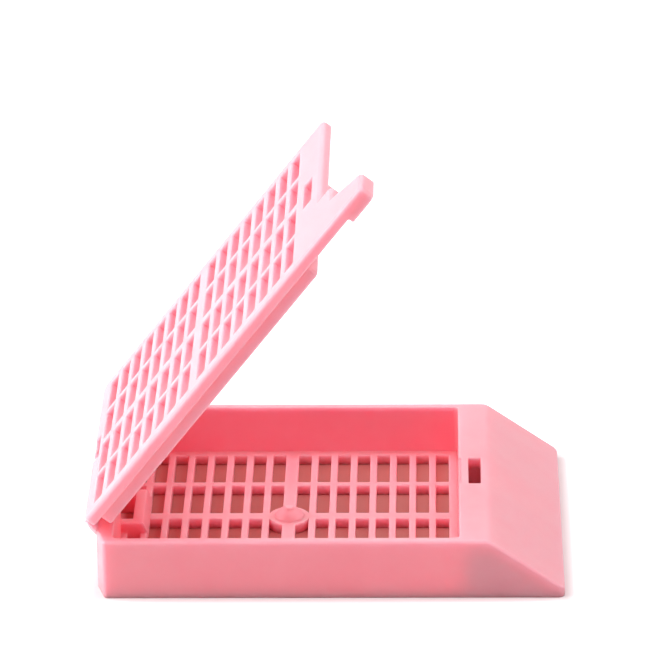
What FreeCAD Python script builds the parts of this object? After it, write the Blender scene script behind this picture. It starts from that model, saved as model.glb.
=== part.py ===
"""Tissue cassette: a slotted specimen tray with a snap lid on a living hinge.

Tray, web and lid are one acetal moulding.  The tray and the lid are drawn closed, in hinge
coordinates: x forward from the fold of the hinge, y across, z up from the rim.  The lid is
then turned open and everything moves to the part's own frame, whose origin is the centre of the
underside.  The sloped writing face looks to +X and the lid's thumb tab is on the -Y side.
"""
import FreeCAD, Part
import math
import os

Vector = FreeCAD.Vector
Y_AXIS = Vector(0, 1, 0)

# Tray, from its rear wall to the lip of the writing face
body_width = 28.5
body_height = 5.5
fold_overhang = 0.5          # the fold of the hinge stands this far behind the rear wall
rear_wall = 1.5
side_wall = 0.85
well_length = 30.3
land_length = 2.6            # flat top between the well and the writing face
slope_angle = 35.0           # writing face, degrees from level
slope_blend_radius = 1.2     # where the land rolls over into the writing face
lip_height = 0.85
floor_thickness = 1.0
rear_corner_radius = 0.4
front_corner_radius = 0.6
rim_radius = 0.25
well_corner_radius = 0.4

# Underside of the front wedge, hollow for an even wall
land_thickness = 1.1
hollow_corner_radius = 0.4

# Drain slots, the same in the floor and in the lid
slot_width = 1.18
slot_bar = 0.63
slots_per_half = 8
middle_bar = 1.20
column_web = 0.70
centre_web = 1.15
grid_front_margin = 0.84     # from the slots to the front wall of the well
grid_side_margin = 0.825     # from the slots to the side walls

# Boss in the middle of the floor
boss_diameter = 3.7
dome_diameter = 2.8
dome_height = 0.85

# Catch windows of the tray
front_window_width = 5.2
front_window_length = 1.1
catch_bar = 0.9              # from the well to the front window and to the hollow
catch_bar_depth = 1.15
catch_notch = 0.22           # step in the edge of the bar, seen from above
rear_window_width = 5.0
rear_window_length = 1.05
rear_ledge_depth = 1.7       # what is left of the rear wall above the rear catch
rear_ledge_lead = 0.25       # chamfer that lets the barb swing out
rear_skin = 0.35
catch_pocket_depth = 1.25
curb_wall = 0.95             # frame round the rear window
curb_height = 1.0            # above the floor
curb_ramp = 0.45

# Hinge
hinge_width = 20.8
web_thickness = 0.3
web_recess = 0.05            # below the mating plane, so that the fold can close
lid_stop = 0.45              # the plate of the lid stops this far short of the fold
web_slack = 0.75             # how far the web runs on straight from each end into its bend
web_sections = 12
pivot_back = 0.45            # the web bows, so the lid turns about a line behind the fold
pivot_drop = 0.25
tray_notch_length = 1.15     # from the fold to the full width of the tray
lid_notch_length = 1.5
rest_angle = 52.15           # how far the lid stands open, degrees

# Lid
lid_inset = 0.2              # each side of the lid stands inside the side of the tray
lid_thickness = 1.0
seat_gap = 0.05
lid_taper_length = 0.9       # where the plate thins towards the hinge
lid_corner_radius = 0.55
lid_edge_radius = 0.4        # round the outside of the plate
skirt_clearance = 0.1
skirt_thickness = 0.65
skirt_height = 1.2
skirt_rear_gap = 8.8         # break of the rear skirt round the rear catch
skirt_nick_width = 0.35
skirt_nick_places = (-9.0, 11.7)

# Thumb tab at the lid's front corner
tab_reach = 6.1              # past the front edge of the lid
tab_step_reach = 1.8
tab_width = 3.65             # at its tip
tab_slant_width = 2.3
tab_step_width = 3.0
tab_radius = 0.7
tab_pad_length = 2.9
tab_pad_thickness = 0.5

# Snap hooks
hook_width = 3.7
hook_stem = 0.55
front_barb = 0.42
rear_barb = 0.3
front_hook_gap = 0.1         # stem to the far edge of the window
rear_hook_gap = 0.1          # stem to the rear wall
hook_tip_taper = 0.2
hook_barb_height = 0.85
hook_play = 0.15             # barb below its ledge
front_lid_window_width = 5.3
front_lid_window_length = 1.2
rear_lid_window_width = 4.36

# Lines that follow from the driving dimensions, along x from the hinge
rear_face = fold_overhang
well_rear = rear_face + rear_wall
well_front = well_rear + well_length
slope_start = well_front + land_length
slope_slant = math.tan(math.radians(slope_angle))
foot_front = slope_start + (body_height - lip_height) / slope_slant
half_width = body_width / 2
well_half = half_width - side_wall
waist = hinge_width / 2
tray_notch_slant = (half_width - waist) / tray_notch_length
rear_half = waist + tray_notch_slant * rear_face
floor_top = floor_thickness - body_height
pitch = slot_width + slot_bar
slot_length = (well_half - grid_side_margin - centre_web / 2 - column_web) / 2
half_grid = slots_per_half * slot_width + (slots_per_half - 1) * slot_bar
grid_length = 2 * half_grid + middle_bar
grid_start = well_front - grid_front_margin - grid_length
grid_middle = grid_start + grid_length / 2
lid_half = half_width - lid_inset
lid_notch_slant = (lid_half - waist) / lid_notch_length
lid_rear_half = waist + lid_notch_slant * lid_stop
lid_under = seat_gap
lid_top = lid_under + lid_thickness
window_start = well_front + catch_bar
window_end = window_start + front_window_length
origin_x = (rear_face + foot_front) / 2
over = 1.0                   # how far cutting tools run past what they cut
near = 1e-3                  # how close an edge counts as being at a place


def block(x_low, x_high, y_low, y_high, z_low, z_high):
    size = (x_high - x_low, y_high - y_low, z_high - z_low)
    return Part.makeBox(*size, Vector(x_low, y_low, z_low))


def side_profile(points, y_low, y_high):
    """Extrude a closed outline of (x, z) points across the part."""
    corners = [Vector(x, y_low, z) for x, z in points]
    face = Part.Face(Part.makePolygon(corners + corners[:1]))
    return face.extrude(Y_AXIS * (y_high - y_low))


def plan_profile(points, z_low, z_high):
    """Extrude a closed outline of (x, y) points upwards."""
    corners = [Vector(x, y, z_low) for x, y in points]
    face = Part.Face(Part.makePolygon(corners + corners[:1]))
    return face.extrude(Vector(0, 0, z_high - z_low))


def upright_edges(shape, places):
    """Vertical edges of a shape that stand at the given (x, y) places."""
    found = []
    for edge in shape.Edges:
        low, high = edge.Vertexes[0].Point, edge.Vertexes[-1].Point
        upright = math.hypot(high.x - low.x, high.y - low.y) < near
        placed = any(math.hypot(low.x - x, low.y - y) < near for x, y in places)
        if upright and placed:
            found.append(edge)
    return found


def mirrored(places):
    return [(x, side * y) for x, y in places for side in (-1, 1)]


def mirrored_plan(points):
    """Closed outline from one side's (x, y) points and their mirror images."""
    return points + [(x, -y) for x, y in reversed(points)]


def rounded_block(x_low, x_high, y_half, z_low, z_high, radius):
    """A block with its four upright edges rounded."""
    solid = block(x_low, x_high, -y_half, y_half, z_low, z_high)
    corners = mirrored([(x_low, y_half), (x_high, y_half)])
    return solid.makeFillet(radius, upright_edges(solid, corners))


def slot_columns():
    """Low and high edge across the part of each of the four columns of slots."""
    inner = centre_web / 2
    outer = inner + slot_length + column_web
    right = [(inner, inner + slot_length), (outer, outer + slot_length)]
    left = [(-high, -low) for low, high in right]
    return left + right


def slot_rows():
    """Where each row of slots starts, from the hinge forward."""
    rear = [grid_start + row * pitch for row in range(slots_per_half)]
    front_start = grid_middle + middle_bar / 2
    front = [front_start + row * pitch for row in range(slots_per_half)]
    return rear + front


def slot_cutters(z_low, z_high, keep_half=0.0, keep_front=0.0):
    """All slots; those that start behind keep_front stay out of the middle, +-keep_half."""
    cutters = []
    for x in slot_rows():
        for y_low, y_high in slot_columns():
            if x < keep_front and y_low < keep_half < y_high:
                y_low = keep_half
            if x < keep_front and y_low < -keep_half < y_high:
                y_high = -keep_half
            cutters.append(block(x, x + slot_width, y_low, y_high, z_low, z_high))
    return cutters


def tray_outside():
    """Outer block of the tray with its writing face, its rear corners cut back to the hinge."""
    outline = [(rear_face, -body_height), (foot_front, -body_height),
               (foot_front, lip_height - body_height), (slope_start, 0), (rear_face, 0)]
    plan = mirrored_plan([(rear_face, rear_half), (tray_notch_length, half_width),
                          (foot_front, half_width)])
    solid = side_profile(outline, -half_width, half_width)
    crease = [edge for edge in solid.Edges
              if edge.CenterOfMass.distanceToPoint(Vector(slope_start, 0, 0)) < near]
    solid = solid.makeFillet(slope_blend_radius, crease)
    solid = solid.common(plan_profile(plan, -body_height, over))
    solid = solid.makeFillet(rear_corner_radius, upright_edges(
        solid, mirrored([(tray_notch_length, half_width)])))
    solid = solid.makeFillet(front_corner_radius,
                             upright_edges(solid, mirrored([(foot_front, half_width)])))
    soft = []
    for edge in solid.Edges:
        centre = edge.CenterOfMass
        along_side = abs(abs(centre.y) - half_width) < near
        above_lip = centre.z > lip_height - body_height
        if along_side and above_lip and edge.BoundBox.XLength > rim_radius:
            soft.append(edge)
    return solid.makeFillet(rim_radius, soft)


def rear_curb():
    """Low frame round the rear window, ramped down to the floor at its front."""
    front = well_rear + rear_window_length + curb_wall
    top = floor_top + curb_height
    outline = [(well_rear - rear_wall / 2, floor_top - floor_thickness / 2),
               (front + curb_ramp, floor_top - floor_thickness / 2),
               (front + curb_ramp, floor_top), (front, top),
               (well_rear - rear_wall / 2, top)]
    reach = rear_window_width / 2 + curb_wall
    return side_profile(outline, -reach, reach)


def boss():
    """Disc and dome in the middle of the floor, where the moulding is fed."""
    disc = Part.makeCylinder(boss_diameter / 2, floor_thickness,
                             Vector(grid_middle, 0, -body_height))
    rise = dome_height
    ball_radius = (dome_diameter ** 2 / 4 + rise ** 2) / (2 * rise)
    ball = Part.makeSphere(ball_radius, Vector(grid_middle, 0, floor_top + rise - ball_radius))
    cap = ball.common(Part.makeCylinder(boss_diameter / 2, rise + over,
                                        Vector(grid_middle, 0, floor_top)))
    return disc.fuse(cap)


def front_hollow():
    """Room below the land and the writing face, open underneath."""
    drop = land_thickness / math.cos(math.radians(slope_angle))
    inner_land = -land_thickness
    inner_start = slope_start - (drop - land_thickness) / slope_slant
    toe = slope_start + (body_height - drop) / slope_slant
    outline = [(window_start, -body_height - over), (toe + over / slope_slant,
               -body_height - over), (inner_start, inner_land), (window_start, inner_land)]
    hollow = side_profile(outline, -well_half, well_half)
    return hollow.makeFillet(hollow_corner_radius,
                             upright_edges(hollow, mirrored([(window_start, well_half)])))


def front_catch():
    """Window in the land, the pocket under its bar and the step on the bar's edge."""
    reach = front_window_width / 2
    window = block(window_start, window_end, -reach, reach, -body_height, over)
    pocket = block(well_front - over, window_start + over, -reach, reach,
                   -catch_bar_depth - catch_pocket_depth, -catch_bar_depth)
    step = block(well_front - over, well_front + catch_notch, -reach, reach,
                 -catch_notch, over)
    return [window, pocket, step]


def rear_catch():
    """Window through the floor and the recess that leaves a ledge on the rear wall."""
    reach = rear_window_width / 2
    window = block(well_rear, well_rear + rear_window_length, -reach, reach,
                   -body_height - over, floor_top + curb_height + over)
    recess = block(rear_face + rear_skin, well_rear + rear_window_length, -reach, reach,
                   -body_height - over, -rear_ledge_depth)
    lead = side_profile([(well_rear - rear_ledge_lead, -rear_ledge_depth),
                         (well_rear, -rear_ledge_depth),
                         (well_rear, rear_ledge_lead - rear_ledge_depth)], -reach, reach)
    return [window, recess, lead]


def make_tray():
    solid = tray_outside()
    solid = solid.cut(rounded_block(well_rear, well_front, well_half, floor_top, over,
                                    well_corner_radius))
    solid = solid.cut(front_hollow())
    curb_front = well_rear + rear_window_length + curb_wall
    curb_half = rear_window_width / 2 + curb_wall
    solid = solid.cut(slot_cutters(-body_height - over, floor_top + over / 2,
                                   curb_half, curb_front))
    solid = solid.fuse([rear_curb(), boss()])
    solid = solid.cut(rear_catch() + front_catch())
    return solid.removeSplitter()


def lid_plate():
    """Plate of the lid with its thumb tab, thinned towards the hinge."""
    tip = slope_start + tab_reach
    step = slope_start + tab_step_reach
    tip_edge = tab_width - lid_half
    step_edge = tip_edge + tab_slant_width
    riser = step_edge + tab_step_width
    outline = [(lid_stop, lid_rear_half), (lid_stop, -lid_rear_half),
               (lid_notch_length, -lid_half), (tip, -lid_half), (tip, tip_edge),
               (step, step_edge), (step, riser), (slope_start, riser),
               (slope_start, lid_half), (lid_notch_length, lid_half)]
    plate = plan_profile(outline, lid_under, lid_top)
    plate = plate.makeFillet(tab_radius, upright_edges(plate, [(tip, -lid_half)]))
    rounded = [(tip, tip_edge), (step, riser), (slope_start, lid_half),
               (lid_notch_length, -lid_half), (lid_notch_length, lid_half)]
    plate = plate.makeFillet(lid_corner_radius, upright_edges(plate, rounded))
    outer = [edge for edge in plate.Edges
             if edge.BoundBox.ZMin > lid_top - near and edge.BoundBox.XMax > lid_notch_length]
    plate = plate.makeFillet(lid_edge_radius, outer)
    pad_slant = tab_slant_width * tab_pad_length / (tab_reach - tab_step_reach)
    pad = plan_profile([(tip - tab_pad_length, -lid_half), (tip, -lid_half), (tip, tip_edge),
                        (tip - tab_pad_length, tip_edge + pad_slant)],
                       lid_under - tab_pad_thickness, lid_under + lid_thickness / 2)
    pad = pad.makeFillet(tab_radius, upright_edges(pad, [(tip, -lid_half)]))
    pad = pad.makeFillet(lid_corner_radius, upright_edges(pad, [(tip, tip_edge)]))
    plate = plate.fuse(pad)
    web_outside = web_recess + web_thickness
    taper_end = lid_stop + lid_taper_length
    taper_slant = (lid_top - web_outside) / lid_taper_length
    taper = side_profile([(lid_stop - over, web_outside - over * taper_slant),
                          (taper_end, lid_top), (taper_end, lid_top + over),
                          (lid_stop - over, lid_top + over)], -lid_half, lid_half)
    return plate.cut(taper)


def skirt():
    """Low wall under the lid that drops inside the well, broken round the rear hook."""
    rear = well_rear + skirt_clearance
    front = well_front - skirt_clearance
    outer = well_half - skirt_clearance
    bottom = lid_under - skirt_height
    wall = rounded_block(rear, front, outer, bottom, lid_under, well_corner_radius)
    wall = wall.cut(block(rear + skirt_thickness, front - skirt_thickness,
                          skirt_thickness - outer, outer - skirt_thickness,
                          bottom - over, lid_under + over))
    gap = block(rear - over, rear + skirt_thickness + over, -skirt_rear_gap / 2,
                skirt_rear_gap / 2, bottom - over, lid_under + over)
    nicks = [block(front - skirt_thickness - over, front + over,
                   y - skirt_nick_width / 2, y + skirt_nick_width / 2,
                   bottom - over, bottom + skirt_height / 2) for y in skirt_nick_places]
    return wall.cut([gap] + nicks)


def snap_hook(back, barb, ledge_depth, root):
    """Hook whose stem has its far face at back and whose barb points to the hinge."""
    stem_face = back - hook_stem
    catch = -ledge_depth - hook_play
    tip = catch - hook_barb_height
    outline = [(back, root), (back, tip), (stem_face - hook_tip_taper / 2, tip),
               (stem_face - barb, catch - hook_tip_taper),
               (stem_face - barb, catch), (stem_face, catch), (stem_face, root)]
    return side_profile(outline, -hook_width / 2, hook_width / 2)


def make_lid():
    front_back = window_end - front_hook_gap
    rear_back = well_rear + rear_hook_gap + hook_stem
    solid = lid_plate().fuse(skirt())
    solid = solid.fuse([snap_hook(front_back, front_barb, catch_bar_depth, lid_under),
                        snap_hook(rear_back, rear_barb, rear_ledge_depth, lid_under)])
    front_edge = front_back - hook_stem
    windows = [block(front_edge - front_lid_window_length, front_edge,
                     -front_lid_window_width / 2, front_lid_window_width / 2,
                     lid_under - over / 2, lid_top + over),
               block(0, rear_back - hook_stem, -rear_lid_window_width / 2,
                     rear_lid_window_width / 2, lid_under - over / 2, lid_top + over)]
    solid = solid.cut(windows)
    solid = solid.cut(slot_cutters(lid_under - skirt_height / 2, lid_top + over))
    return solid.removeSplitter()


def hinge_turn(point):
    """Where a point of the closed lid stands once the lid is open by rest_angle."""
    angle = math.radians(rest_angle)
    out = point.x + pivot_back
    up = point.z + pivot_drop
    return Vector(out * math.cos(angle) - up * math.sin(angle) - pivot_back, point.y,
                  out * math.sin(angle) + up * math.cos(angle) - pivot_drop)


def web_path():
    """Curve of the middle of the web, from the rear wall round to the plate of the open lid."""
    depth = web_recess + web_thickness / 2
    start = Vector(rear_face, 0, -depth)
    start_handle = Vector(rear_face - web_slack, 0, -depth)
    end = hinge_turn(Vector(lid_stop, 0, depth))
    end_handle = hinge_turn(Vector(lid_stop - web_slack, 0, depth))
    path = Part.BezierCurve()
    path.setPoles([start, start_handle, end_handle, end])
    return path


def web_strip(path, turn_start, turn_end, edges_start, edges_end):
    """Loft along part of the web's path; the edges are (low, high) across the hinge."""
    wires = []
    for step in range(web_sections + 1):
        share = step / web_sections
        turn = turn_start + (turn_end - turn_start) * share
        low, high = [a + (b - a) * share for a, b in zip(edges_start, edges_end)]
        middle = path.value(turn)
        along = path.tangent(turn)[0]
        inward = Vector(-along.z, 0, along.x) * (web_thickness / 2)
        corners = [middle + inward + Y_AXIS * low, middle + inward + Y_AXIS * high,
                   middle - inward + Y_AXIS * high, middle - inward + Y_AXIS * low]
        wires.append(Part.makePolygon(corners + corners[:1]))
    return Part.makeLoft(wires, True)


def make_living_hinge():
    """Thin web from the rear wall to the plate, drawn bent as it is with the lid open.

    Its side edges run in to the fold, and its lid half is open at the window of the rear hook.
    """
    path = web_path()
    gap = rear_lid_window_width / 2
    tray_half = web_strip(path, 0, 0.5, (-rear_half, rear_half), (-waist, waist))
    lid_left = web_strip(path, 0.5, 1, (-waist, -gap), (-lid_rear_half, -gap))
    lid_right = web_strip(path, 0.5, 1, (gap, waist), (gap, lid_rear_half))
    return tray_half.fuse([lid_left, lid_right])


def place(shape, opened):
    """Turn a closed shape open about the hinge and move it to the part's frame."""
    placed = shape.copy()
    placed.rotate(Vector(-pivot_back, 0, -pivot_drop), -Y_AXIS, opened)
    placed.translate(Vector(-origin_x, 0, body_height))
    return placed


nodes = {
    "cassette_base": place(make_tray(), 0),
    "lid": place(make_lid(), rest_angle),
    "living_hinge": place(make_living_hinge(), 0),
}
os.makedirs("parts", exist_ok=True)
for name, solid in nodes.items():
    solid.exportStep("parts/" + name + ".step")
    print(name, "valid", solid.isValid(), "solids", len(solid.Solids),
          "volume", round(solid.Volume, 2))
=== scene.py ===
import bmesh
import bpy
import math
from mathutils import Matrix, Vector
from mathutils.bvhtree import BVHTree


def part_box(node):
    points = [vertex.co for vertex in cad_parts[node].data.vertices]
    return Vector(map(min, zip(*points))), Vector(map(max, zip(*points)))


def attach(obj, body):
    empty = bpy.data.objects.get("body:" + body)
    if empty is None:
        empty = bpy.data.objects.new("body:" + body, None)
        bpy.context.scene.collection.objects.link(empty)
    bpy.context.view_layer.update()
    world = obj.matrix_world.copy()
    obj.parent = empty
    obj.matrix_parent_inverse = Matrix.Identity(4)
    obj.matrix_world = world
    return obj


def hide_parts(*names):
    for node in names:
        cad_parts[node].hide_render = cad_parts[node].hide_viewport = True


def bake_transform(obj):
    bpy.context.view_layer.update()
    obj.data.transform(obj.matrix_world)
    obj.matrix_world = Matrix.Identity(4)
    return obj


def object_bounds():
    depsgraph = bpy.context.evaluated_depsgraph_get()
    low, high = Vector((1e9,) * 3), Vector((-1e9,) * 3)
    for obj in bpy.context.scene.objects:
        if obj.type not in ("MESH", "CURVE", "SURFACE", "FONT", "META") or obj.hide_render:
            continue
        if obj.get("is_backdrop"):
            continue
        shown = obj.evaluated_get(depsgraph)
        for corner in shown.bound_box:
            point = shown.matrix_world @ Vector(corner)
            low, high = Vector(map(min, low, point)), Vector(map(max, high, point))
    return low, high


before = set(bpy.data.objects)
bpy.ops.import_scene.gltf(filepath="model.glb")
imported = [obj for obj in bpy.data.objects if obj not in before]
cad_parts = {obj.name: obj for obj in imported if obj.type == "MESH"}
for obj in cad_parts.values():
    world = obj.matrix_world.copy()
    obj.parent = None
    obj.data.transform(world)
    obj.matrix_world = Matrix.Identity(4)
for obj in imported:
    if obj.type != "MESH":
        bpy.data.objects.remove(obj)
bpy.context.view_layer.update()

# The tray: an open box moulded in pink acetal, with drain slots in its floor and a sloped face
# for writing on at its front.  The plastic lets light through, so thin walls and deep corners glow.
# Its edges are broken as a polished and eroded mould leaves them.

MM = 0.001                   # the mesh work is done in millimetres
EDGE_ROUND = 0.1
ROOM_LIMIT = 1.0             # faces wider than this don't hold an edge back
ROOM_SHARE = 0.4             # of the room beside an edge that its rounding may take
LEAST_ROUND = 0.12           # shares of EDGE_ROUND below this leave the edge sharp
SLOT_PITCH = 1.81
SLOTS_PER_HALF = 8
FLOOR_ROWS = (-17.87, -2.82)  # middle of the first slot of each half, along the tray
COLUMN_CUTS = (-9.75, -4.0, 0.0, 4.0, 9.75)


def face_room(edge, tree, reach):
    """The least width of the two faces beside an edge, measured just above and below them."""
    least = reach
    for loop in edge.link_loops:
        face = loop.face
        run = loop.link_loop_next.vert.co - loop.vert.co
        inward = face.normal.cross(run).normalized()
        for share in (0.1, 0.5, 0.9):
            start = loop.vert.co + run * share + inward * 0.002
            for lift in (-0.004, 0.004):
                hit = tree.ray_cast(start + face.normal * lift, inward, reach)
                if hit[0] is not None:
                    least = min(least, hit[3])
    return least


def smooth_below(mesh, degrees):
    """Smooth faces, with the edges that turn more than this kept sharp."""
    for polygon in mesh.polygons:
        polygon.use_smooth = True
    mesh.set_sharp_from_angle(angle=math.radians(degrees))


def fixed_mesh(piece):
    """The piece's mesh as its modifiers leave it; the modifiers are then removed."""
    mesh = bpy.data.meshes.new_from_object(
        piece.evaluated_get(bpy.context.evaluated_depsgraph_get()))
    piece.modifiers.clear()
    return mesh


def moulded_shape(node, name, first_rows, lean):
    """The node's shape with whole flat faces and each sharp edge rounded as far as it has room."""
    shape = bmesh.new()
    shape.from_mesh(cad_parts[node].data)
    shape.transform(Matrix.Rotation(lean, 4, "Y") @ Matrix.Scale(1 / MM, 4))
    bmesh.ops.remove_doubles(shape, verts=shape.verts, dist=0.001)
    shape.normal_update()
    tree = BVHTree.FromBMesh(shape)

    # Cuts through the middle of the slots leave no flat face with a hole in it.
    rows = [first + SLOT_PITCH * row for first in first_rows for row in range(SLOTS_PER_HALF)]
    planes = [((row, 0, 0), (1, 0, 0)) for row in rows]
    planes += [((0, column, 0), (0, 1, 0)) for column in COLUMN_CUTS]
    for place, direction in planes:
        cut = bmesh.ops.bisect_plane(shape, geom=shape.verts[:] + shape.edges[:] + shape.faces[:],
                                     dist=1e-4, plane_co=place, plane_no=direction)
        for item in cut["geom_cut"]:
            if isinstance(item, bmesh.types.BMEdge):
                item.seam = True
    bmesh.ops.dissolve_limit(shape, angle_limit=math.radians(0.5), verts=shape.verts,
                             edges=shape.edges, delimit={"SEAM"})
    shape.normal_update()

    weight = shape.edges.layers.float.new("bevel_weight_edge")
    sharp = [edge for edge in shape.edges
             if edge.is_manifold and edge.calc_face_angle() > math.radians(60)]
    widths = {edge: face_room(edge, tree, ROOM_LIMIT) for edge in sharp}
    for edge in sharp:
        room = widths[edge]
        for corner in edge.verts:
            run = (edge.other_vert(corner).co - corner.co).normalized()
            for other in corner.link_edges:
                if other in widths and other is not edge:
                    turn = (other.other_vert(corner).co - corner.co).normalized()
                    if abs(run.dot(turn)) < 0.94:     # not the same edge running on
                        room = min(room, other.calc_length())
        share = min(1.0, ROOM_SHARE * room / EDGE_ROUND)
        edge[weight] = share if share > LEAST_ROUND else 0.0

    blank = bpy.data.meshes.new(name + "_blank")
    shape.to_mesh(blank)
    shape.free()
    piece = bpy.data.objects.new(name, blank)
    bpy.context.scene.collection.objects.link(piece)
    rounding = piece.modifiers.new("rounding", "BEVEL")
    rounding.limit_method = "WEIGHT"
    rounding.width = EDGE_ROUND
    rounding.segments = 2
    rounding.miter_outer = "MITER_ARC"
    rounding.use_clamp_overlap = False
    rounding.loop_slide = False
    mesh = fixed_mesh(piece)
    mesh.transform(Matrix.Scale(MM, 4) @ Matrix.Rotation(-lean, 4, "Y"))
    smooth_below(mesh, 50)
    piece.data = mesh
    mesh.name = name
    flat = piece.modifiers.new("flat_faces", "WEIGHTED_NORMAL")
    flat.keep_sharp = True
    return piece


def acetal_skin():
    """Node group: cloudy colour, eroded grain and roughness of a moulded acetal surface."""
    group = bpy.data.node_groups.new("acetal_skin", "ShaderNodeTree")
    for label, kind, default in (("Colour", "NodeSocketColor", (0.9, 0.4, 0.5, 1)),
                                 ("Deep colour", "NodeSocketColor", (0.85, 0.3, 0.4, 1)),
                                 ("Cloud scale", "NodeSocketFloat", 260.0),
                                 ("Grain scale", "NodeSocketFloat", 6500.0),
                                 ("Roughness", "NodeSocketFloat", 0.5),
                                 ("Roughness spread", "NodeSocketFloat", 0.12),
                                 ("Coarse from", "NodeSocketFloat", 1.0),
                                 ("Coarse scale", "NodeSocketFloat", 3200.0)):
        socket = group.interface.new_socket(label, in_out="INPUT", socket_type=kind)
        socket.default_value = default
    for label, kind in (("Colour", "NodeSocketColor"), ("Roughness", "NodeSocketFloat"),
                        ("Height", "NodeSocketFloat")):
        group.interface.new_socket(label, in_out="OUTPUT", socket_type=kind)
    nodes, links = group.nodes, group.links
    given = nodes.new("NodeGroupInput")
    result = nodes.new("NodeGroupOutput")
    place = nodes.new("ShaderNodeTexCoord")

    cloud = nodes.new("ShaderNodeTexNoise")
    cloud.inputs["Detail"].default_value = 3.0
    cloud.inputs["Roughness"].default_value = 0.6
    links.new(place.outputs["Object"], cloud.inputs["Vector"])
    links.new(given.outputs["Cloud scale"], cloud.inputs["Scale"])
    spread = nodes.new("ShaderNodeMapRange")
    spread.inputs["From Min"].default_value = 0.35
    spread.inputs["From Max"].default_value = 0.7
    links.new(cloud.outputs["Fac"], spread.inputs["Value"])
    tint = nodes.new("ShaderNodeMix")
    tint.data_type = "RGBA"
    links.new(spread.outputs["Result"], tint.inputs["Factor"])
    links.new(given.outputs["Colour"], tint.inputs["A"])
    links.new(given.outputs["Deep colour"], tint.inputs["B"])
    links.new(tint.outputs["Result"], result.inputs["Colour"])

    grain = nodes.new("ShaderNodeTexNoise")
    grain.inputs["Detail"].default_value = 2.0
    links.new(place.outputs["Object"], grain.inputs["Vector"])
    links.new(given.outputs["Grain scale"], grain.inputs["Scale"])

    # From one place along the tray onward the mould is eroded deeper, so that a pencil marks it.
    along = nodes.new("ShaderNodeSeparateXYZ")
    links.new(place.outputs["Object"], along.inputs["Vector"])
    behind = nodes.new("ShaderNodeMath")
    behind.operation = "SUBTRACT"
    links.new(along.outputs["X"], behind.inputs[0])
    links.new(given.outputs["Coarse from"], behind.inputs[1])
    coarse_part = nodes.new("ShaderNodeMapRange")
    coarse_part.inputs["From Min"].default_value = 0.0
    coarse_part.inputs["From Max"].default_value = 0.0005
    links.new(behind.outputs["Value"], coarse_part.inputs["Value"])
    pits = nodes.new("ShaderNodeTexNoise")
    pits.inputs["Detail"].default_value = 3.0
    pits.inputs["Roughness"].default_value = 0.65
    links.new(place.outputs["Object"], pits.inputs["Vector"])
    links.new(given.outputs["Coarse scale"], pits.inputs["Scale"])
    deeper = nodes.new("ShaderNodeMath")
    deeper.operation = "MULTIPLY"
    links.new(pits.outputs["Fac"], deeper.inputs[0])
    links.new(coarse_part.outputs["Result"], deeper.inputs[1])
    height = nodes.new("ShaderNodeMath")
    height.operation = "MULTIPLY_ADD"
    height.inputs[1].default_value = 9.0
    links.new(deeper.outputs["Value"], height.inputs[0])
    links.new(grain.outputs["Fac"], height.inputs[2])
    links.new(height.outputs["Value"], result.inputs["Height"])

    offset = nodes.new("ShaderNodeMath")
    offset.operation = "SUBTRACT"
    offset.inputs[1].default_value = 0.5
    links.new(grain.outputs["Fac"], offset.inputs[0])
    rough = nodes.new("ShaderNodeMath")
    rough.operation = "MULTIPLY_ADD"
    links.new(offset.outputs["Value"], rough.inputs[0])
    links.new(given.outputs["Roughness spread"], rough.inputs[1])
    links.new(given.outputs["Roughness"], rough.inputs[2])
    links.new(rough.outputs["Value"], result.inputs["Roughness"])
    return group


skin = acetal_skin()
ACETAL_IOR = 1.48
LIGHT_REACH = 0.002          # how far light travels inside the plastic, in metres


def acetal(name, colour, deep_colour, roughness, grain_depth, coarse_from=1.0, milky=1.0):
    """Pink acetal: a matt skin over a milky body in which light travels about two millimetres."""
    material = bpy.data.materials.new(name)
    material.use_nodes = True
    nodes, links = material.node_tree.nodes, material.node_tree.links
    shader = nodes["Principled BSDF"]
    surface = nodes.new("ShaderNodeGroup")
    surface.node_tree = skin
    surface.inputs["Colour"].default_value = (*colour, 1)
    surface.inputs["Deep colour"].default_value = (*deep_colour, 1)
    surface.inputs["Roughness"].default_value = roughness
    surface.inputs["Coarse from"].default_value = coarse_from
    bump = nodes.new("ShaderNodeBump")
    bump.inputs["Strength"].default_value = 0.5
    bump.inputs["Distance"].default_value = grain_depth
    links.new(surface.outputs["Height"], bump.inputs["Height"])
    links.new(surface.outputs["Colour"], shader.inputs["Base Color"])
    links.new(surface.outputs["Roughness"], shader.inputs["Roughness"])
    links.new(bump.outputs["Normal"], shader.inputs["Normal"])
    shader.inputs["Subsurface Weight"].default_value = milky
    shader.inputs["Subsurface Radius"].default_value = (1.0, 0.9, 1.0)
    shader.inputs["Subsurface Scale"].default_value = LIGHT_REACH
    shader.inputs["IOR"].default_value = ACETAL_IOR
    return material


WRITING_FACE_FROM = 0.0141   # along the tray, in metres

tray = moulded_shape("cassette_base", "tray", FLOOR_ROWS, 0.0)
tray.data.materials.append(acetal("tray_acetal", (1.0, 0.335, 0.39), (1.0, 0.31, 0.365),
                                  0.42, 0.000004, WRITING_FACE_FROM))
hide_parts("cassette_base")
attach(tray, "base")

# The ribs under the front window: two thin walls that close off the sides of the pocket into
# which the lid's front hook drops.  They stand in the hollow behind the writing face.

RIB_SIDE = ((12.13, 0.12), (19.6, 0.12), (13.57, 4.45), (12.13, 4.45))  # along the tray, upward
RIB_FACES = (2.6, 3.2)       # either side of the middle
RIB_EDGE_ROUND = 0.05


def rib_outline(shape, across):
    """The corners of one rib face, across millimetres from the middle."""
    return [shape.verts.new((along, across, up)) for along, up in RIB_SIDE]


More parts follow.
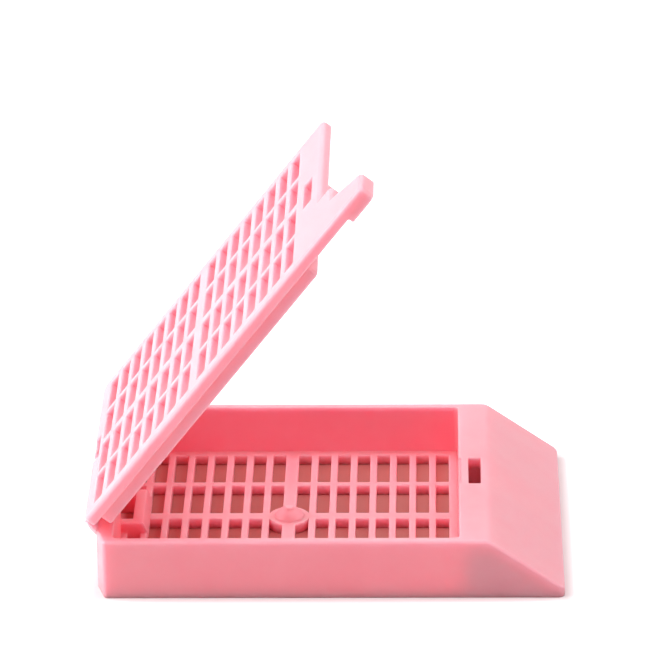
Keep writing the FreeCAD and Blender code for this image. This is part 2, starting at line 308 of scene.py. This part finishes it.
def rib_pair(name):
    """Two upright ribs of the same outline, one each side of the middle."""
    shape = bmesh.new()
    for side in (-1, 1):
        near_face, far_face = (rib_outline(shape, side * face) for face in RIB_FACES)
        shape.faces.new(near_face)
        shape.faces.new(far_face)
        for index in range(len(RIB_SIDE)):
            after = (index + 1) % len(RIB_SIDE)
            shape.faces.new((near_face[index], near_face[after],
                             far_face[after], far_face[index]))
    bmesh.ops.recalc_face_normals(shape, faces=shape.faces)
    bmesh.ops.bevel(shape, geom=shape.edges[:], offset=RIB_EDGE_ROUND, segments=2,
                    affect="EDGES", clamp_overlap=True)
    shape.transform(Matrix.Scale(MM, 4))
    mesh = bpy.data.meshes.new(name)
    shape.to_mesh(mesh)
    shape.free()
    piece = bpy.data.objects.new(name, mesh)
    bpy.context.scene.collection.objects.link(piece)
    return piece


ribs = rib_pair("window_ribs")
# The ribs' colour is painted deeper than the tray's: painted shade on the same plastic in the dark
# hollow.
ribs.data.materials.append(acetal("rib_acetal_painted_shade", (1.0, 0.26, 0.32), (1.0, 0.24, 0.3),
                                  0.45, 0.000003))
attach(ribs, "base")

# The lid: a slotted plate of the same moulding, with a low skirt, two snap hooks and a thumb tab.
# Its outside is rounded all round and its slots stand over those of the floor.

LID_LEAN = math.radians(52.15)
LID_ROWS = (-5.43, 9.62)     # as FLOOR_ROWS, along the lid turned back level

lid = moulded_shape("lid", "lid_plate", LID_ROWS, LID_LEAN)
# The lid's colour is painted a little paler than the tray's: painted light on the same plastic.
lid.data.materials.append(acetal("lid_acetal_painted_light", (1.0, 0.352, 0.405), (1.0, 0.325, 0.378),
                                  0.32, 0.000003))
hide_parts("lid")
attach(lid, "lid")

# Marks of the mould: the low studs that the ejector pins leave on the middle bar inside the lid,
# and the stub of the gate on top of the floor's boss, through which the plastic came in.


def round_marks():
    """Geometry nodes: a row of low round studs, standing up from their start height."""
    tree = bpy.data.node_groups.new("round_marks", "GeometryNodeTree")
    tree.interface.new_socket("Geometry", in_out="OUTPUT", socket_type="NodeSocketGeometry")
    for label, kind in (("Count", "NodeSocketInt"), ("Start", "NodeSocketVector"),
                        ("Step", "NodeSocketVector"), ("Foot radius", "NodeSocketFloat"),
                        ("Top radius", "NodeSocketFloat"), ("Rise", "NodeSocketFloat"),
                        ("Material", "NodeSocketMaterial")):
        tree.interface.new_socket(label, in_out="INPUT", socket_type=kind)
    nodes, links = tree.nodes, tree.links
    given = nodes.new("NodeGroupInput")
    result = nodes.new("NodeGroupOutput")
    row = nodes.new("GeometryNodeMeshLine")
    stud = nodes.new("GeometryNodeMeshCone")
    stud.inputs["Vertices"].default_value = 28
    placed = nodes.new("GeometryNodeInstanceOnPoints")
    real = nodes.new("GeometryNodeRealizeInstances")
    painted = nodes.new("GeometryNodeSetMaterial")
    links.new(given.outputs["Count"], row.inputs["Count"])
    links.new(given.outputs["Start"], row.inputs["Start Location"])
    links.new(given.outputs["Step"], row.inputs["Offset"])
    links.new(given.outputs["Foot radius"], stud.inputs["Radius Bottom"])
    links.new(given.outputs["Top radius"], stud.inputs["Radius Top"])
    links.new(given.outputs["Rise"], stud.inputs["Depth"])
    links.new(row.outputs["Mesh"], placed.inputs["Points"])
    links.new(stud.outputs["Mesh"], placed.inputs["Instance"])
    links.new(placed.outputs["Instances"], real.inputs["Geometry"])
    links.new(real.outputs["Geometry"], painted.inputs["Geometry"])
    links.new(given.outputs["Material"], painted.inputs["Material"])
    links.new(painted.outputs["Geometry"], result.inputs["Geometry"])
    return tree


mark_tree = round_marks()


def mark_row(name, values, lean):
    """A piece made by round_marks with these values, in millimetres, then leaned."""
    host = bpy.data.objects.new(name, bpy.data.meshes.new(name + "_seed"))
    bpy.context.scene.collection.objects.link(host)
    maker = host.modifiers.new("marks", "NODES")
    maker.node_group = mark_tree
    for socket in mark_tree.interface.items_tree:
        if socket.in_out == "INPUT":
            maker[socket.identifier] = values[socket.name]
    mesh = fixed_mesh(host)
    mesh.transform(Matrix.Rotation(lean, 4, "Y") @ Matrix.Scale(MM, 4))
    smooth_below(mesh, 35)
    host.data = mesh
    mesh.name = name
    return host


mark_acetal = acetal("mark_acetal", (0.98, 0.4, 0.46), (0.97, 0.37, 0.43), 0.5, 0.000003,
                     milky=0.0)
pin_marks = mark_row("pin_marks", {
    "Count": 5, "Start": (8.43, -10.0, 20.435), "Step": (0.0, 5.0, 0.0), "Foot radius": 0.38,
    "Top radius": 0.42, "Rise": 0.05, "Material": mark_acetal}, -LID_LEAN)
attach(pin_marks, "lid")

gate_stub = mark_row("gate_stub", {
    "Count": 1, "Start": (-4.01, 0.0, 1.8), "Step": (0.0, 0.0, 0.0), "Foot radius": 0.42,
    "Top radius": 0.34, "Rise": 0.1, "Material": mark_acetal}, 0.0)
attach(gate_stub, "base")

# The living hinge: the web between tray and lid, thin enough to fold many times.
# It is moulded with them, and lets more light through than the plates do.

web = bpy.data.objects.new("hinge_web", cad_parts["living_hinge"].data.copy())
bpy.context.scene.collection.objects.link(web)
smooth_below(web.data, 35)
web.data.materials.clear()
# The web's colour lies halfway between the tray's and the lid's painted light, so no seam shows.
web.data.materials.append(acetal("hinge_acetal", (1.0, 0.343, 0.397), (1.0, 0.317, 0.37),
                                 0.42, 0.000003))
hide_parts("living_hinge")
low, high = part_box("living_hinge")
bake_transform(web)

# The bench: a pale sheet in a white room, under four soft boxes.  A patch of the sheet where the
# tray's slots and hollow stand is painted reddish tan: painted shade under the tray, tinted with
# painted red light from the plastic.  The sheet doesn't glow under the tray.

SHEET_REACH = 1.5            # metres each way from the tray
SHEET_COLOUR = (0.79, 0.74, 0.75, 1)
SHEET_GLOW = 0.5
# The patch colour is painted shade under the tray, tinted with painted red light from the plastic.
PAINTED_SHADE_COLOUR = (0.54, 0.24, 0.22, 1)
PAINTED_SHADE_MIDDLE = (0.00025, 0, 0)
PAINTED_SHADE_HALF_SIZE = (0.01925, 0.0134, 0)
ROOM_LIGHT = 0.04
SOFT_BOX_SIDE = 0.5
SOFT_BOX_AIM = Vector((0, 0, 0))

floor_mesh = bpy.data.meshes.new("bench")
floor_mesh.from_pydata([(-SHEET_REACH, -SHEET_REACH, 0), (SHEET_REACH, -SHEET_REACH, 0),
                        (SHEET_REACH, SHEET_REACH, 0), (-SHEET_REACH, SHEET_REACH, 0)],
                       [], [(0, 1, 2, 3)])
bench = bpy.data.objects.new("bench", floor_mesh)
bpy.context.scene.collection.objects.link(bench)


def box_mask():
    """Node group: 0 within an upright box and 1 outside it, with a soft step between."""
    group = bpy.data.node_groups.new("box_mask", "ShaderNodeTree")
    for label, kind in (("Middle", "NodeSocketVector"), ("Half size", "NodeSocketVector"),
                        ("Step start", "NodeSocketFloat"), ("Step end", "NodeSocketFloat")):
        group.interface.new_socket(label, in_out="INPUT", socket_type=kind)
    group.interface.new_socket("Outside", in_out="OUTPUT", socket_type="NodeSocketFloat")
    nodes, links = group.nodes, group.links
    given = nodes.new("NodeGroupInput")
    result = nodes.new("NodeGroupOutput")
    place = nodes.new("ShaderNodeTexCoord")
    from_middle = nodes.new("ShaderNodeVectorMath")
    from_middle.operation = "SUBTRACT"
    reach = nodes.new("ShaderNodeVectorMath")
    reach.operation = "ABSOLUTE"
    past = nodes.new("ShaderNodeVectorMath")
    past.operation = "SUBTRACT"
    parts = nodes.new("ShaderNodeSeparateXYZ")
    furthest = nodes.new("ShaderNodeMath")
    furthest.operation = "MAXIMUM"
    step = nodes.new("ShaderNodeMapRange")
    step.interpolation_type = "SMOOTHSTEP"
    links.new(place.outputs["Object"], from_middle.inputs[0])
    links.new(given.outputs["Middle"], from_middle.inputs[1])
    links.new(from_middle.outputs["Vector"], reach.inputs[0])
    links.new(reach.outputs["Vector"], past.inputs[0])
    links.new(given.outputs["Half size"], past.inputs[1])
    links.new(past.outputs["Vector"], parts.inputs["Vector"])
    links.new(parts.outputs["X"], furthest.inputs[0])
    links.new(parts.outputs["Y"], furthest.inputs[1])
    links.new(furthest.outputs["Value"], step.inputs["Value"])
    links.new(given.outputs["Step start"], step.inputs["From Min"])
    links.new(given.outputs["Step end"], step.inputs["From Max"])
    links.new(step.outputs["Result"], result.inputs["Outside"])
    return group


outside_box = box_mask()


def box_node(nodes, middle, half_size, step_start, step_end):
    """The box mask as one node of a material, with these values in metres."""
    mask = nodes.new("ShaderNodeGroup")
    mask.node_tree = outside_box
    mask.inputs["Middle"].default_value = middle
    mask.inputs["Half size"].default_value = half_size
    mask.inputs["Step start"].default_value = step_start
    mask.inputs["Step end"].default_value = step_end
    return mask


def seen_straight(nodes, links):
    """The output that is 1 for what is seen directly, in a mirror or through glass."""
    path = nodes.new("ShaderNodeLightPath")
    bright = nodes.new("ShaderNodeMath")
    bright.operation = "MAXIMUM"
    through = nodes.new("ShaderNodeMath")
    through.operation = "MAXIMUM"
    links.new(path.outputs["Is Camera Ray"], bright.inputs[0])
    links.new(path.outputs["Is Glossy Ray"], bright.inputs[1])
    links.new(bright.outputs["Value"], through.inputs[0])
    links.new(path.outputs["Is Transmission Ray"], through.inputs[1])
    return through.outputs["Value"]


white = bpy.data.materials.new("sheet_with_painted_shade")
white.use_nodes = True
nodes, links = white.node_tree.nodes, white.node_tree.links
nodes.clear()
tray_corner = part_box("cassette_base")[1]

beside_tray = box_node(nodes, (0, 0, 0), (tray_corner.x, tray_corner.y, 0), 0.0, 0.0018)
# Mask of the patch of painted shade and painted red light under the tray's slots and hollow.
outside_painted_shade = box_node(nodes, PAINTED_SHADE_MIDDLE, PAINTED_SHADE_HALF_SIZE, -0.0003, 0.0003)
sheet_colour = nodes.new("ShaderNodeMix")
sheet_colour.data_type = "RGBA"
sheet_colour.inputs["A"].default_value = PAINTED_SHADE_COLOUR
sheet_colour.inputs["B"].default_value = SHEET_COLOUR
paper = nodes.new("ShaderNodeBsdfDiffuse")
glow = nodes.new("ShaderNodeEmission")
glow.inputs["Color"].default_value = (1, 1, 1, 1)
glow.inputs["Strength"].default_value = SHEET_GLOW
both = nodes.new("ShaderNodeAddShader")
seen = nodes.new("ShaderNodeMixShader")
lit = nodes.new("ShaderNodeMath")
lit.operation = "MULTIPLY"
output = nodes.new("ShaderNodeOutputMaterial")
links.new(outside_painted_shade.outputs["Outside"], sheet_colour.inputs["Factor"])
links.new(sheet_colour.outputs["Result"], paper.inputs["Color"])
links.new(seen_straight(nodes, links), lit.inputs[0])
links.new(beside_tray.outputs["Outside"], lit.inputs[1])
links.new(paper.outputs["BSDF"], both.inputs[0])
links.new(glow.outputs["Emission"], both.inputs[1])
links.new(lit.outputs["Value"], seen.inputs["Fac"])
links.new(paper.outputs["BSDF"], seen.inputs[1])
links.new(both.outputs["Shader"], seen.inputs[2])
links.new(seen.outputs["Shader"], output.inputs["Surface"])
floor_mesh.materials.append(white)
bench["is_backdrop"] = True

world = bpy.data.worlds.new("white_room")
bpy.context.scene.world = world
world.use_nodes = True
nodes, links = world.node_tree.nodes, world.node_tree.links
nodes.clear()
room = nodes.new("ShaderNodeBackground")
room.inputs["Color"].default_value = (1, 1, 1, 1)
room.inputs["Strength"].default_value = ROOM_LIGHT
backdrop = nodes.new("ShaderNodeBackground")
backdrop.inputs["Color"].default_value = (1, 1, 1, 1)
backdrop.inputs["Strength"].default_value = 1.0
seen = nodes.new("ShaderNodeMixShader")
output = nodes.new("ShaderNodeOutputWorld")
links.new(seen_straight(nodes, links), seen.inputs["Fac"])
links.new(room.outputs["Background"], seen.inputs[1])
links.new(backdrop.outputs["Background"], seen.inputs[2])
links.new(seen.outputs["Shader"], output.inputs["Surface"])


def soft_lamp(name, place, watts):
    """A square soft box at place, turned to SOFT_BOX_AIM."""
    light = bpy.data.lights.new(name, "AREA")
    light.shape = "RECTANGLE"
    light.size = SOFT_BOX_SIDE
    light.size_y = SOFT_BOX_SIDE
    light.energy = watts
    lamp = bpy.data.objects.new(name, light)
    lamp.location = place
    lamp.rotation_mode = "QUATERNION"
    lamp.rotation_quaternion = (SOFT_BOX_AIM - Vector(place)).to_track_quat("-Z", "Y")
    bpy.context.scene.collection.objects.link(lamp)


soft_lamp("left_box", (-0.48, 0, 0.34), 5.2)
soft_lamp("top_box", (0, 0, 0.6), 1.9)
soft_lamp("right_box", (0.46, 0, 0.38), 1.85)
soft_lamp("back_box", (0, 0.42, 0.42), 0.7)

# The camera looks from just above, square to the long side, through a long lens.

CAMERA_REACH = 0.42239       # from the point it circles, in metres
CAMERA_PIVOT = Vector((-0.00102, 0, 0.003))

low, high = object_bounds()
centre = (low + high) / 2
turn, lift, tilt = math.radians(1.58), math.radians(26.17), math.radians(-0.79)
away = Vector((math.sin(turn) * math.cos(lift), -math.cos(turn) * math.cos(lift),
               math.sin(lift)))
camera_data = bpy.data.cameras.new("camera")
camera_data.lens = 255
camera_data.sensor_width = 36
camera_data.clip_start = 0.01
camera_data.clip_end = 10
camera = bpy.data.objects.new("camera", camera_data)
camera.location = CAMERA_PIVOT + away * CAMERA_REACH
camera.rotation_mode = "QUATERNION"
look = (centre - camera.location).to_track_quat("-Z", "Y")
roll = Matrix.Rotation(tilt, 3, "Z").to_quaternion()
camera.rotation_quaternion = look @ roll
bpy.context.scene.collection.objects.link(camera)
bpy.context.scene.camera = camera

bpy.context.scene.view_settings.view_transform = "Standard"
# Red light crosses the thin plastic many times before it is lost.
bpy.context.scene.cycles.diffuse_bounces = 12
